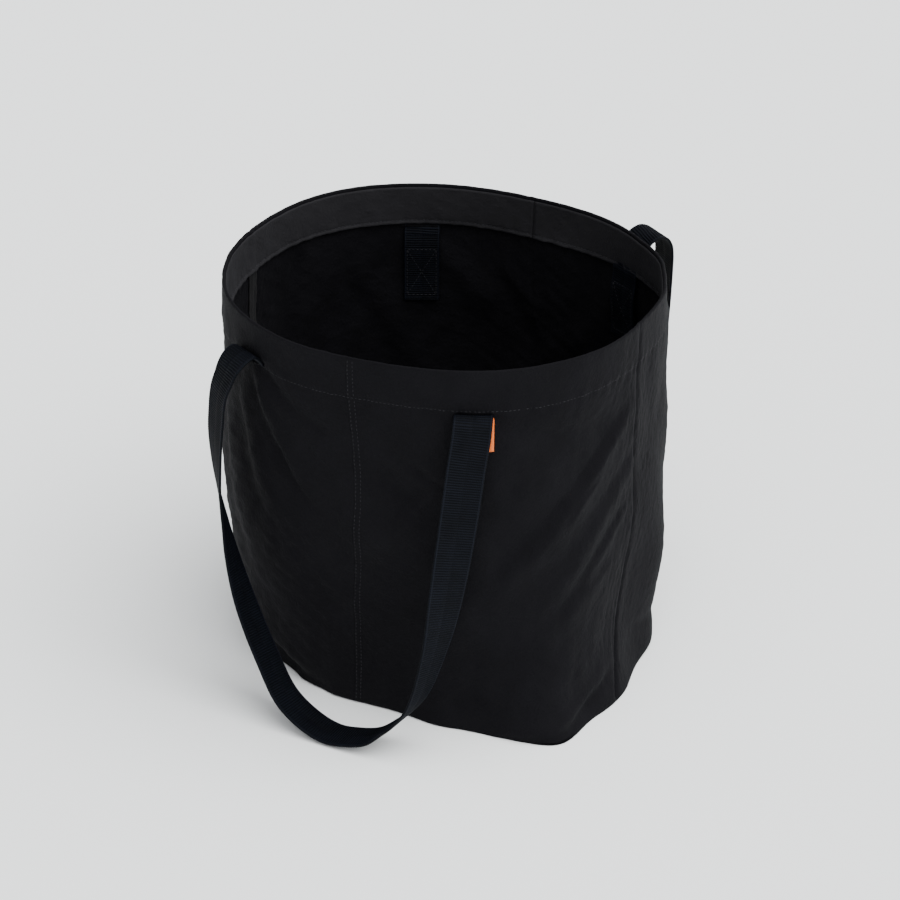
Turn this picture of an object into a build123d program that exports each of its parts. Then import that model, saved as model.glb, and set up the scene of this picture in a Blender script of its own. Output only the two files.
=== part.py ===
from build123d import *
import math
import os

# Foldable tote bag, in millimetres. It stands on z = 0, the mouth is open upwards, the front is -Y,
# and the right side is +X. The origin is on the floor, under the middle of the mouth.

# driving dimensions: the bag
bag_height = 337.0
rim_half_width = 187.0
rim_half_depth = 174.0
rim_back_shift = 8.0        # the mouth sits a little behind the base
rim_squareness = 2.25       # 2 is an ellipse, more is squarer
base_radius = 157.0
corner_x = 197.0            # the front right corner of the boxed base stands out to here
corner_y = 151.0
corner_squareness = 6.0
bottom_seam_x = -6.0        # the centre seams wander to here where they reach the bottom seam
bottom_seam_y = -52.0
cloth = 1.6                 # two layers of body cloth with their seams
seam_gap = 0.5              # between neighbouring pieces of one body
panel_points = 17

# driving dimensions: bands, tapes and threads
hem_depth = 36.0
band_thickness = 1.0
tape_width = 10.0
tape_thickness = 0.8
layer_gap = 0.4
foot_gap = 2.4              # the corner tapes stand this far inside the wall's outer face
thread = 0.6
seam_row_spacing = 4.6
corner_seam_length = 198.0

# driving dimensions: webbing handles
webbing_width = 32.0
webbing_thickness = 1.6
slot_x = 101.0
slot_z = 296.0
slot_width = 37.0
slot_height = 5.0
end_length = 72.0
front_end_gap = 1.8         # between the wall and a sewn webbing end
back_end_gap = 5.0          # more, because the back wall leans in below the slots
hinge_clearance = 3.0
bridge_gap = 1.6
tab_width = 14.0
tab_length = 29.0
tab_thickness = 1.2

# One handle's middle line from slot to slot: x, how far out from the slot line, z, and how far the
# webbing has turned from lying along +X towards the outside.
handle_route = [
    (-112.0, 0.0, 296.0, 0.0),
    (-124.0, 7.0, 256.0, 20.0),
    (-120.0, 16.0, 208.0, 46.0),
    (-109.0, 26.0, 160.0, 66.0),
    (-88.0, 37.0, 104.0, 82.0),
    (-60.0, 47.0, 55.0, 88.0),
    (-30.0, 54.0, 19.0, 90.0),
    (8.0, 57.0, 3.5, 92.0),
    (44.0, 56.0, 10.0, 95.0),
    (70.0, 52.0, 33.0, 99.0),
    (85.0, 46.0, 62.0, 104.0),
    (95.0, 38.0, 100.0, 114.0),
    (101.0, 28.0, 146.0, 132.0),
    (104.0, 13.0, 214.0, 158.0),
    (103.0, 0.0, 296.0, 180.0),
]

wall_levels = [0.0, 22.0, 60.0, 110.0, 170.0, 240.0, 300.0, bag_height]

os.makedirs("parts", exist_ok=True)


def ease(value):
    value = max(0.0, min(1.0, value))
    return value * value * (3 - 2 * value)


def corner_share(angle):
    # 1 along the boxed front right corner, 0 round the rest of the base; angle from -180 to 180
    return ease((angle + 135) / 50) * ease((32 - angle) / 44)


def wall_point(angle, z, inset=0.0):
    # a point of the wall's outer face, or inset mm inside it, at this direction and height
    rise = z / bag_height
    fill = 1 - (1 - rise) ** 3
    half_width = base_radius + (rim_half_width - base_radius) * fill
    half_depth = base_radius + (rim_half_depth - base_radius) * fill
    angle = (angle + 180) % 360 - 180
    across = abs(math.cos(math.radians(angle)))
    along = abs(math.sin(math.radians(angle)))
    n = rim_squareness
    rounded = ((across / half_width) ** n + (along / half_depth) ** n) ** (-1 / n)
    n = corner_squareness
    boxed = ((across / corner_x) ** n + (along / corner_y) ** n) ** (-1 / n)
    share = corner_share(angle) * (1 - rise) ** 4
    radius = rounded + (boxed - rounded) * share - inset
    x = radius * math.cos(math.radians(angle))
    y = radius * math.sin(math.radians(angle)) + rim_back_shift * rise
    return (x, y)


def wall_angle(x, z, front):
    # the direction in which the wall stands at this x, on the front or on the back
    low = -90.0 if front else 90.0
    high = 0.0
    if x < 0:
        high = -180.0 if front else 180.0
    for step in range(40):
        middle = (low + high) / 2
        if abs(wall_point(middle, z)[0]) < abs(x):
            low = middle
        else:
            high = middle
    return (low + high) / 2


def side_seam(z, right):
    # the side seams drift forwards towards the base, where they meet the bottom seam
    drift = (1 - z / bag_height) ** 1.5
    if right:
        return -2.0 + (math.degrees(math.atan2(bottom_seam_y, corner_x)) + 2.0) * drift
    lean = math.degrees(math.asin(-bottom_seam_y / base_radius))
    return 182.0 + (lean - 2.0) * drift


def strip(z, start, end, outer_inset, inner_inset, count):
    # the closed outline of a band that follows the wall, at one height
    outer = []
    inner = []
    for i in range(count):
        angle = start + (end - start) * i / (count - 1)
        outer.append(wall_point(angle, z, outer_inset))
        inner.append(wall_point(angle, z, inner_inset))
    inner.reverse()
    with BuildLine() as outline:
        Spline(*outer)
        Line(outer[-1], inner[0])
        Spline(*inner)
        Line(inner[-1], outer[0])
    return outline.edges()


def save(part, label):
    part.label = label
    export_step(part, "parts/" + label + ".step")


def panel(label, right, front):
    # one quarter of the body: its wall, its slot and its share of the base
    gap_angle = math.degrees(seam_gap / base_radius)
    centre = -90.0 if front else 90.0
    if front and not right:
        centre = 270.0
    with BuildPart() as body:
        for z in wall_levels:
            side = side_seam(z, right)
            inwards = gap_angle if centre > side else -gap_angle
            with BuildSketch(Plane.XY.offset(z)):
                make_face(strip(z, side + inwards, centre - inwards, 0.0, cloth, panel_points))
        loft()
        side = side_seam(0.0, right)
        inwards = gap_angle if centre > side else -gap_angle
        outer = []
        for i in range(panel_points):
            share = i / (panel_points - 1)
            outer.append(wall_point(side + inwards + (centre - side - 2 * inwards) * share, 0.0))
        seam_x = bottom_seam_x + (seam_gap if right else -seam_gap)
        seam_y = bottom_seam_y - seam_gap if front else bottom_seam_y + seam_gap
        with BuildSketch():
            with BuildLine():
                Spline(*outer)
                Polyline(outer[-1], (seam_x, seam_y), outer[0])
            make_face()
        extrude(amount=cloth)
        middle, slope = slot_place(right, front)
        with BuildSketch(Plane.XY.offset(slot_z - slot_height / 2)):
            with Locations(Location((middle[0], middle[1], 0), (0, 0, slope))):
                Rectangle(slot_width, 24.0)
        extrude(amount=slot_height, mode=Mode.SUBTRACT)
    save(body.part, label)


def slot_place(right, front):
    # the middle of a slot on the wall's outer face, and the wall's slope there in plan
    x = slot_x if right else -slot_x
    angle = wall_angle(x, slot_z, front)
    before = wall_point(angle - 4, slot_z)
    after = wall_point(angle + 4, slot_z)
    slope = math.degrees(math.atan2(after[1] - before[1], after[0] - before[0]))
    return wall_point(angle, slot_z), slope


def hinge_y(front):
    # the line that a handle swings about, just clear of the wall at the webbing's inner edge
    x = slot_x - webbing_width / 2
    y = wall_point(wall_angle(x, slot_z, front), slot_z)[1]
    return y - hinge_clearance if front else y + hinge_clearance


def webbing_end(label, right, front):
    # the sewn tail inside the wall, and the short flat run out through the slot
    middle, slope = slot_place(right, front)
    outwards = -1.0 if front else 1.0
    across = (math.cos(math.radians(slope)), math.sin(math.radians(slope)))
    normal = (across[1], -across[0])
    depth = cloth + (front_end_gap if front else back_end_gap)
    half = webbing_width / 2
    reach = hinge_y(front) - outwards * bridge_gap
    inner = []
    for side in (-half, half):
        x = middle[0] + across[0] * side - normal[0] * depth
        y = middle[1] + across[1] * side - normal[1] * depth
        inner.append((x, y))
    edge = sorted([middle[0] - half, middle[0] + half])
    if inner[0][0] > inner[1][0]:
        inner.reverse()
    with BuildPart() as end:
        with BuildSketch(Plane.XY.offset(slot_z - webbing_thickness / 2)):
            with BuildLine():
                Polyline(inner[0], (edge[0], reach), (edge[1], reach), inner[1], close=True)
            make_face()
        extrude(amount=webbing_thickness)
        tail = depth + webbing_thickness / 2
        x = middle[0] - normal[0] * tail
        y = middle[1] - normal[1] * tail
        with BuildSketch(Plane.XY.offset(slot_z + webbing_thickness / 2 - end_length)):
            with Locations(Location((x, y, 0), (0, 0, slope))):
                Rectangle(webbing_width, webbing_thickness)
        extrude(amount=end_length)
    save(end.part, label)


def handle(label, front):
    # a lofted length of webbing; the back handle is the front one turned half round
    turned = 1.0 if front else -1.0
    places = []
    for x, out, z, turn in handle_route:
        y = hinge_y(front) - turned * out
        places.append((Vector(turned * x, y, z), turn))
    sections = []
    for i, (place, turn) in enumerate(places):
        before = places[max(i - 1, 0)][0]
        after = places[min(i + 1, len(places) - 1)][0]
        along = (after - before).normalized()
        if i in (0, len(places) - 1):
            along = Vector(0, 0, -1 if i == 0 else 1)
        flat = Vector(math.cos(math.radians(turn)), -math.sin(math.radians(turn)), 0) * turned
        flat = (flat - along * flat.dot(along)).normalized()
        sections.append(Plane(origin=place, x_dir=flat, z_dir=along))
    with BuildPart() as loop:
        for first, second in zip(sections, sections[1:]):
            with BuildSketch(first):
                Rectangle(webbing_width, webbing_thickness)
            with BuildSketch(second):
                Rectangle(webbing_width, webbing_thickness)
            loft(ruled=True)
    save(loop.part, label)


# body cloth in four quarters
panel("front_left_panel", right=False, front=True)
panel("front_right_panel", right=True, front=True)
panel("back_left_panel", right=False, front=False)
panel("back_right_panel", right=True, front=False)

# folded band inside the mouth, in two halves joined at the front and back centres
band_outer = cloth + layer_gap
band_inner = band_outer + band_thickness
for label, start, end in (("right_hem_band", -89.9, 89.9), ("left_hem_band", 90.1, 269.9)):
    with BuildPart() as band:
        for z in (bag_height - hem_depth, bag_height - hem_depth / 2, bag_height - 0.5):
            with BuildSketch(Plane.XY.offset(z)):
                make_face(strip(z, start, end, band_outer, band_inner, 17))
        loft()
    save(band.part, label)

# tapes over the side seams, inside
tape_outer = cloth + layer_gap
tape_inner = tape_outer + tape_thickness
tape_half_angle = math.degrees(tape_width / 2 / rim_half_width)
for label, right in (("right_side_binding", True), ("left_side_binding", False)):
    with BuildPart() as tape:
        for z in (16.0, 60.0, 120.0, 200.0, bag_height - hem_depth - 2):
            seam = side_seam(z, right)
            with BuildSketch(Plane.XY.offset(z)):
                make_face(strip(z, seam - tape_half_angle, seam + tape_half_angle, tape_outer, tape_inner, 3))
        loft()
    save(tape.part, label)

# tape over the bottom seam, inside
with BuildPart() as bottom_binding:
    left_end = -math.sqrt(base_radius ** 2 - bottom_seam_y ** 2) + 6
    right_end = corner_x - 6
    with BuildSketch(Plane.XY.offset(cloth + seam_gap)):
        with Locations(((left_end + right_end) / 2, bottom_seam_y)):
            Rectangle(right_end - left_end, tape_width)
    extrude(amount=tape_thickness)
save(bottom_binding.part, "bottom_binding")

# tapes along the boxed corner seams, inside the foot of the wall
for label, right in (("right_corner_binding", True), ("left_corner_binding", False)):
    half = math.degrees(corner_seam_length / 2 / corner_x if right else corner_seam_length / 2 / base_radius)
    middle = side_seam(0.0, right)
    with BuildPart() as tape:
        for z in (cloth + 1.4, cloth + 1.4 + tape_width):
            with BuildSketch(Plane.XY.offset(z)):
                make_face(strip(z, middle - half, middle + half, tape_outer, tape_inner, 17))
        loft()
    save(tape.part, label)

# thread rows outside: one under the rim and two on each centre seam
with BuildPart() as hem_stitching:
    for start, end in ((-89.8, 89.8), (90.2, 269.8)):
        z = bag_height - hem_depth
        with BuildSketch(Plane.XY.offset(z)):
            make_face(strip(z, start, end, -layer_gap - thread, -layer_gap, 33))
    extrude(amount=thread)
save(hem_stitching.part, "hem_stitching")

for label, centre in (("front_centre_stitching", -90.0), ("back_centre_stitching", 90.0)):
    with BuildPart() as rows:
        for side in (-1, 1):
            offset_angle = math.degrees(seam_row_spacing / 2 / rim_half_depth) * side
            half = math.degrees(thread / 2 / rim_half_depth)
            for low, high in ((4.0, bag_height - hem_depth - 3), (bag_height - hem_depth + 3, bag_height - 2)):
                levels = [low + (high - low) * i / 4 for i in range(5)]
                with BuildPart(mode=Mode.PRIVATE) as row:
                    for z in levels:
                        with BuildSketch(Plane.XY.offset(z)):
                            angle = centre + offset_angle
                            make_face(strip(z, angle - half, angle + half, -layer_gap - thread, -layer_gap, 3))
                    loft()
                add(row.part)
    save(rows.part, label)

# webbing: four sewn ends and two handles
for front, face in ((True, "front"), (False, "back")):
    webbing_end(face + "_handle_left_end", False, front)
    webbing_end(face + "_handle_right_end", True, front)
    handle(face + "_handle", front)

# small folded tab beside the front right slot
middle, slope = slot_place(True, True)
across = (math.cos(math.radians(slope)), math.sin(math.radians(slope)))
tab_middle = webbing_width / 2 - 1
tab_out = layer_gap + 0.4 + tab_thickness / 2
tab_x = middle[0] + across[0] * tab_middle + across[1] * tab_out
tab_y = middle[1] + across[1] * tab_middle - across[0] * tab_out
with BuildPart() as side_tab:
    with BuildSketch(Plane.XY.offset(slot_z - slot_height - tab_length)):
        with Locations(Location((tab_x, tab_y, 0), (0, 0, slope + 3))):
            Rectangle(tab_width, tab_thickness)
    extrude(amount=tab_length)
save(side_tab.part, "side_tab")
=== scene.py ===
import math

import bmesh
import bpy
import numpy as np
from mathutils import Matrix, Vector


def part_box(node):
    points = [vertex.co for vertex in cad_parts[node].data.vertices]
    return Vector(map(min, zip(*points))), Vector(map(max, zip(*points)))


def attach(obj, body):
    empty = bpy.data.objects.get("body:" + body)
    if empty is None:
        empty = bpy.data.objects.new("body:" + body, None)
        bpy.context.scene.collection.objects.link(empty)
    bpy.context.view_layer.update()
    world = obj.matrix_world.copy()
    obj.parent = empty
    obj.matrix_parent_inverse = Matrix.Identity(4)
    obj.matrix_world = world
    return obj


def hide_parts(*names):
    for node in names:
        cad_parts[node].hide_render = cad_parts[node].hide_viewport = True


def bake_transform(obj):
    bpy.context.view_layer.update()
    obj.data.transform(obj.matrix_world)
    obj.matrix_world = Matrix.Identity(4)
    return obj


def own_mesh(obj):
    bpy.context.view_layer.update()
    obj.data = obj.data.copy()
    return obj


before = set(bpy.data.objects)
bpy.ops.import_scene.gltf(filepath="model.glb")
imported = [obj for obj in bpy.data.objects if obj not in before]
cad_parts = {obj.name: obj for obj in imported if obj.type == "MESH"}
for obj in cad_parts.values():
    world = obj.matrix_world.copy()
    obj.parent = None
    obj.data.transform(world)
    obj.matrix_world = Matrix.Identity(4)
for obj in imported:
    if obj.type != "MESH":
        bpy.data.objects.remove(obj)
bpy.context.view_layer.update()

# A foldable tote standing open: four body panels, a folded band inside the mouth,
# seam tapes, sewn thread rows, two webbing handles through slots and a small tab.

mm = 0.001
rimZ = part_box("front_right_panel")[1][2]


# numbers that shape the bag

bag = {
    "rimHalfWidth": 187 * mm,
    "rimHalfDepth": 174 * mm,
    "rimBackShift": 8 * mm,
    "rimSquareness": 2.25,
    "baseRadius": 157 * mm,
    "cornerX": 198 * mm,
    "cornerY": 150.5 * mm,
    "cornerSquareness": 9.0,
    "bottomSeamX": -6 * mm,
    "bottomSeamY": -52 * mm,
    "bellyOut": 3.5 * mm,       # how far the filled wall swells at half height
    "rimWave": 1.6 * mm,        # the mouth is not quite level
    "sideSag": 16 * mm,         # the loaded cloth bulges low down on the right
    "footHeight": 32 * mm,      # how far up the foot's own bulges reach
}

cloth = {
    "thickness": 0.9 * mm,
    "rimFold": 1.5 * mm,        # radius of the fold along the mouth
    "hemDepth": 36 * mm,
    "hemStep": 0.5 * mm,
    "fellWidth": 7.2 * mm,      # folded seam beside each centre seam
    "fellStep": 0.4 * mm,
    "footRadius": 4 * mm,
    "cornerFootRadius": 2.2 * mm,
    "columns": 112,
    "wallRows": 128,
    "baseRings": 18,
}

rimDents = [
    # direction, half width (degrees), how far out (mm)
    (45, 13, -4.5),
    (79, 14, 2.2),
    (-20, 12, 1.5),
    (27, 9, -5),
]

footBulges = [
    # direction, half width (degrees), how far out (mm)
    (19, 11, 8),
    (0, 8, -2.5),
    (-27, 8, -7.5),
    (-64, 8, 7),
    (-92, 22, 5),
    (-121, 11, -9),
]


def smooth(value):
    value = np.clip(value, 0.0, 1.0)
    return value * value * (3 - 2 * value)


def turned(angle):
    return (angle + 180.0) % 360.0 - 180.0


def asTurn(length):
    # the change of direction, in degrees, over a length round the wall
    return length / folds["girth"] * 180 / math.pi


def asLength(turn):
    return turn * math.pi / 180 * folds["girth"]


def lengthAlong(spots):
    # the distance from the first spot to each of them
    return np.concatenate([[0], np.cumsum(np.linalg.norm(np.diff(spots, axis=0), axis=1))])


def cornerShare(angle):
    # how far a direction belongs to the boxed front right corner of the base
    angle = turned(angle)
    return smooth((angle + 135) / 50) * smooth((32 - angle) / 44)


def sideSeam(z, right):
    # the side seams lean forward as they go down, to meet the bottom seam
    drift = np.clip(1 - z / rimZ, 0, 1) ** 4
    if right:
        foot = math.degrees(math.atan2(bag["bottomSeamY"], bag["cornerX"]))
        back = 3.6 * smooth((0.71 * rimZ - z) / (0.27 * rimZ))
        return -4.0 + back + (foot + 0.4) * drift
    lean = math.degrees(math.asin(-bag["bottomSeamY"] / bag["baseRadius"]))
    return 182.0 + (lean - 2.0) * drift


def centreSeam(z, front):
    # the centre seams wander a little where the cloth is slack
    sway = np.sin(np.pi * np.clip(z / rimZ, 0, 1) ** 1.2) ** 2
    return -90.0 + 2.4 * sway if front else 90.0 - 1.2 * sway


def smoothWall(angle, z):
    # the wall without its folds, from arrays of direction in degrees and height in metres
    rise = np.clip(z / rimZ, 0, 1)
    fill = 1 - (1 - rise) ** 3
    halfWidth = bag["baseRadius"] + (bag["rimHalfWidth"] - bag["baseRadius"]) * fill
    halfDepth = bag["baseRadius"] + (bag["rimHalfDepth"] - bag["baseRadius"]) * fill
    belly = bag["bellyOut"] * np.sin(np.pi * np.clip(rise * 1.15, 0, 1)) ** 2
    turn = np.radians(angle)
    across = np.abs(np.cos(turn))
    along = np.abs(np.sin(turn))
    n = bag["rimSquareness"]
    rounded = ((across / (halfWidth + belly)) ** n + (along / (halfDepth + belly)) ** n) ** (-1 / n)
    n = bag["cornerSquareness"]
    boxed = ((across / bag["cornerX"]) ** n + (along / bag["cornerY"]) ** n) ** (-1 / n)
    share = cornerShare(angle) * (1 - rise) ** 4
    radius = rounded + (boxed - rounded) * share
    side = turned(angle)
    radius = radius + bag["sideSag"] * np.exp(-((side - 20) / 16) ** 2 - ((z - 60 * mm) / (95 * mm)) ** 2)
    atFoot = np.exp(-(z / bag["footHeight"]) ** 2)
    for place, wide, amount in footBulges:
        radius = radius + amount * mm * atFoot * np.exp(-((side - place) / wide) ** 2)
    atRim = smooth((z - 0.8 * rimZ) / (0.2 * rimZ))
    for place, wide, amount in rimDents:
        radius = radius + amount * mm * atRim * np.exp(-((side - place) / wide) ** 2)
    x = radius * np.cos(turn)
    y = radius * np.sin(turn) + bag["rimBackShift"] * rise
    return np.stack([x, y, z * np.ones_like(x)], axis=-1)


def outward(angle, z):
    # the smooth wall's outward direction
    step = 0.4
    lift = 2 * mm
    around = smoothWall(angle + step, z) - smoothWall(angle - step, z)
    up = smoothWall(angle, z + lift) - smoothWall(angle, np.maximum(z - lift, 0))
    up[..., 2] = np.maximum(up[..., 2], 1e-5)
    normal = np.cross(around, up)
    return normal / np.linalg.norm(normal, axis=-1, keepdims=True)


# folds and rumples of the filled cloth, all moved along the wall's outward direction

creases = [
    # direction and height where it starts, where it ends, half width, depth (mm), kind
    (-119, 302, -96, 262, 8, 3.8, "valley"),
    (-122, 288, -104, 212, 8, 3.4, "pleat"),
    (-128, 262, -116, 170, 11, 2.8, "pleat"),
    (-140, 240, -126, 120, 14, 2.6, "pleat"),
    (-112, 240, -99, 192, 6, 2.2, "pleat"),
    (-108, 284, -94, 226, 5, 1.6, "pleat"),
    (-81, 236, -63, 204, 15, 5.2, "valley"),
    (-66, 222, -75, 184, 5, 2.6, "pleat"),
    (-70, 248, -57, 231, 6, 2.0, "pleat"),
    (-78, 262, -64, 246, 6, 1.4, "pleat"),
    (-92, 190, -76, 172, 22, -3.8, "valley"),
    (-50, 286, -14, 262, 11, 2.8, "valley"),
    (-10, 262, -46, 150, 10, 3.6, "pleat"),
    (-16, 246, -42, 162, 5, 2.4, "pleat"),
    (-21, 216, -31, 188, 3.6, 1.7, "pleat"),
    (-30, 208, -48, 146, 5, 1.9, "pleat"),
    (-6, 214, -38, 122, 12, 3.2, "pleat"),
    (-8, 170, -31, 104, 7, 2.2, "pleat"),
    (-14, 128, -40, 84, 9, 1.8, "pleat"),
    (-52, 150, -68, 60, 20, 2.6, "pleat"),
    (-58, 118, -50, 62, 9, 1.4, "pleat"),
    (-90, 150, -104, 92, 9, 1.6, "pleat"),
    (-100, 120, -84, 84, 10, 1.7, "pleat"),
    (-47, 4, -17, 26, 6, 4.4, "pleat"),
    (-70, 6, -52, 30, 8, 2.0, "valley"),
    (-122, 20, -100, 4, 8, 3.6, "valley"),
    (-128, 46, -112, 12, 12, 3.4, "pleat"),
    (2, 36, 30, 31, 6, 1.4, "valley"),
    (6, 300, 12, 200, 15, 1.5, "pleat"),
    (14, 250, 34, 120, 20, 2.0, "pleat"),
    (30, 290, 52, 210, 16, 2.0, "pleat"),
    (58, 284, 76, 196, 14, 3.4, "valley"),
    (70, 200, 96, 96, 16, 3.0, "pleat"),
    (100, 262, 84, 170, 12, 2.4, "pleat"),
    (124, 284, 104, 222, 13, 3.2, "valley"),
    (142, 246, 122, 118, 15, 3.0, "pleat"),
    (158, 290, 170, 160, 12, 2.6, "pleat"),
    (176, 210, 158, 70, 14, 2.6, "pleat"),
    (60, 26, 92, 6, 10, 4.0, "valley"),
    (128, 30, 150, 8, 11, 4.0, "valley"),
]

folds = {
    "girth": 178 * mm,          # turns a direction into a length round the wall
    "slotWide": 17.6 * mm,
    "slotTall": 1.5 * mm,
    "slotDeep": 3.4 * mm,
    "puckerPitch": 11 * mm,
    "puckerDepth": 0.32 * mm,
}


def waveSet(seed, count, longest, shortest, height):
    # plane waves through space, so that they close up round the bag
    rng = np.random.default_rng(seed)
    found = []
    for i in range(count):
        way = rng.normal(size=3)
        way[2] *= 0.7
        way /= np.linalg.norm(way)
        length = longest * (shortest / longest) ** (i / max(count - 1, 1))
        found.append((way * 2 * math.pi / length, rng.uniform(0, 2 * math.pi), height * length / longest))
    return found


broadWaves = waveSet(5, 7, 240 * mm, 90 * mm, 1.5 * mm)
rumpleWaves = waveSet(11, 18, 62 * mm, 15 * mm, 0.85 * mm)
crinkleWaves = waveSet(23, 16, 16 * mm, 7 * mm, 0.15 * mm)


slots = {
    # middle of each slot: x, height
    "frontLeft": (-100.5 * mm, rimZ - 33 * mm),
    "frontRight": (104.5 * mm, rimZ - 40.5 * mm),
    "backRight": (101 * mm, rimZ - 33 * mm),
    "backLeft": (-101 * mm, rimZ - 41 * mm),
}


def slotDent(points):
    # a slit at each of the four slots, pressed into the outer skin
    dent = np.zeros(points.shape[:-1])
    for name, (x, z) in slots.items():
        facing = points[..., 1] < 0 if name.startswith("front") else points[..., 1] > 0
        across = np.abs(points[..., 0] - x)
        wide = smooth((folds["slotWide"] - across * 1.12) / (1.6 * mm))
        tall = smooth((folds["slotTall"] + 0.7 * mm - np.abs(points[..., 2] - z)) / (1.0 * mm))
        dent = dent + wide * tall * facing
    return dent * folds["slotDeep"]


def foldOut(angle, z):
    # how far the cloth stands out from the smooth wall
    angle = turned(angle)
    base = smoothWall(angle, z)
    stiffHem = 1 - 0.45 * smooth((z - (rimZ - cloth["hemDepth"] - 6 * mm)) / (14 * mm))
    atFoot = smooth(z / (26 * mm))
    out = np.zeros(base.shape[:-1])
    for way, phase, height in broadWaves:
        out += height * np.sin(base @ way + phase) * stiffHem
    calm = 1 - 0.6 * np.exp(-(turned(angle - 12.0) / 34.0) ** 2)      # the right side is pulled smoother
    for way, phase, height in rumpleWaves:
        out += height * (np.abs(np.sin(base @ way + phase)) - 0.64) * stiffHem * 0.55 * calm
    for way, phase, height in crinkleWaves:
        out += height * (np.abs(np.sin(base @ way + phase)) - 0.64) * stiffHem
    out *= 0.25 + 0.75 * atFoot
    around = np.radians(angle) * folds["girth"]
    for startTurn, startZ, endTurn, endZ, wide, deep, kind in creases:
        startAround = math.radians(startTurn) * folds["girth"]
        run = math.radians(endTurn - startTurn) * folds["girth"]
        rise = (endZ - startZ) * mm
        length = math.hypot(run, rise)
        halfRound = math.pi * folds["girth"]
        lagAround = (around - startAround + halfRound) % (2 * halfRound) - halfRound
        lagZ = z - startZ * mm
        share = (lagAround * run + lagZ * rise) / length ** 2
        bow = 4 * mm * np.sin(np.pi * np.clip(share, 0, 1))
        off = (lagAround * rise - lagZ * run) / length - bow
        spread = wide * mm * (0.75 + 0.5 * np.clip(share, 0, 1))
        ends = smooth((share + 0.16) / 0.32) * smooth((1.16 - share) / 0.32)
        near = off / spread
        if kind == "valley":
            shape = -np.exp(-near * near)
        else:
            shape = -near * np.exp(0.5 - near * near / 2) * (0.35 + 0.65 * np.exp(-near * near * 0.6)) * 0.8
        out += deep * mm * shape * ends * stiffHem
    hemLine = rimZ - cloth["hemDepth"]
    nearHem = np.exp(-((z - hemLine) / (7 * mm)) ** 2)
    pucker = np.sin(around * 2 * math.pi / folds["puckerPitch"] + 3 * np.sin(around * 31))
    out += folds["puckerDepth"] * pucker * nearHem
    return out


def seamGroove(angle, z):
    # the wall dips along its upright seams, and stands up over the folded seam beside the centres
    angle = turned(angle)
    dip = np.zeros(angle.shape)
    for right in (True, False):
        away = asLength(np.abs(turned(angle - sideSeam(z, right))))
        low = 1 + 3.5 * np.exp(-(z / (90 * mm)) ** 2) + (1.6 if right else 0.0)
        dip -= 0.3 * mm * low * np.exp(-(away / (2.0 * mm)) ** 2)
        dip += 0.3 * mm * np.exp(-((away - 6 * mm) / (4.0 * mm)) ** 2)
    for front in (True, False):
        away = asLength(turned(angle - centreSeam(z, front)))
        dip -= 0.22 * mm * np.exp(-(away / (0.6 * mm)) ** 2)
        raised = smooth(away / (0.5 * mm)) * smooth((cloth["fellWidth"] - away) / (0.5 * mm))
        dip += cloth["fellStep"] * raised
        row = 1.3 * mm
        for line in (row, cloth["fellWidth"] - row):
            dip -= 0.28 * mm * np.exp(-((away - line) / (0.5 * mm)) ** 2)
    return dip


def skin(angle, z, depth=0.0, slits=True):
    # a point of the folded wall, depth inside its outer face
    angle = np.asarray(angle, float)
    z = np.asarray(z, float)
    angle, z = np.broadcast_arrays(angle, z)
    points = smoothWall(angle, z)
    normals = outward(turned(angle), z)
    hem = cloth["hemStep"] * smooth((z - (rimZ - cloth["hemDepth"])) / (1.2 * mm))
    out = foldOut(angle, z) + seamGroove(angle, z) * smooth(z / (5 * mm)) + hem - depth
    if slits:
        out = out - slotDent(points)
    lift = bag["rimWave"] * np.cos(2 * np.radians(angle) + 0.6) * smooth(z / rimZ) ** 2
    moved = points + normals * out[..., None]
    moved[..., 2] += lift - bag["rimWave"] * 0.5 * smooth(z / rimZ)
    moved[..., 2] = np.maximum(moved[..., 2], 0.2 * mm)
    return moved


# mesh makers

def newPiece(name, points, faces, material):
    mesh = bpy.data.meshes.new(name)
    mesh.from_pydata([tuple(p) for p in points], [], faces)
    mesh.validate()
    mesh.polygons.foreach_set("use_smooth", [True] * len(mesh.polygons))
    mesh.materials.append(material)
    mesh.update()
    piece = bpy.data.objects.new(name, mesh)
    bpy.context.scene.collection.objects.link(piece)
    return piece


def clothRun(piece, values):
    # where each point lies on the flat cloth, for the weave
    layer = piece.data.attributes.new("clothRun", "FLOAT_VECTOR", "POINT")
    layer.data.foreach_set("vector", np.asarray(values, np.float32).reshape(-1))


def outwardFaces(piece):
    work = bmesh.new()
    work.from_mesh(piece.data)
    bmesh.ops.recalc_face_normals(work, faces=work.faces)
    work.to_mesh(piece.data)
    work.free()
    piece.data.update()


def gridFaces(columns, rows, first=0, closed=False):
    faces = []
    for c in range(columns if closed else columns - 1):
        here = first + c * rows
        there = first + ((c + 1) % columns) * rows
        for r in range(rows - 1):
            faces.append((here + r, there + r, there + r + 1, here + r + 1))
    return faces


def slab(name, outer, inner, run, material):
    # a thin piece between two grids of points (columns by rows), closed round its edge
    columns, rows = outer.shape[:2]
    count = columns * rows
    points = np.concatenate([outer.reshape(-1, 3), inner.reshape(-1, 3)])
    faces = gridFaces(columns, rows)
    faces += [tuple(reversed([i + count for i in face])) for face in gridFaces(columns, rows)]
    edge = [c * rows for c in range(columns)]
    edge += [(columns - 1) * rows + r for r in range(1, rows)]
    edge += [c * rows + rows - 1 for c in range(columns - 2, -1, -1)]
    edge += [r for r in range(rows - 2, 0, -1)]
    for i, a in enumerate(edge):
        b = edge[(i + 1) % len(edge)]
        faces.append((b, a, a + count, b + count))
    piece = newPiece(name, points, faces, material)
    clothRun(piece, np.concatenate([run.reshape(-1, 3), run.reshape(-1, 3)]))
    outwardFaces(piece)
    return piece


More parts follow.
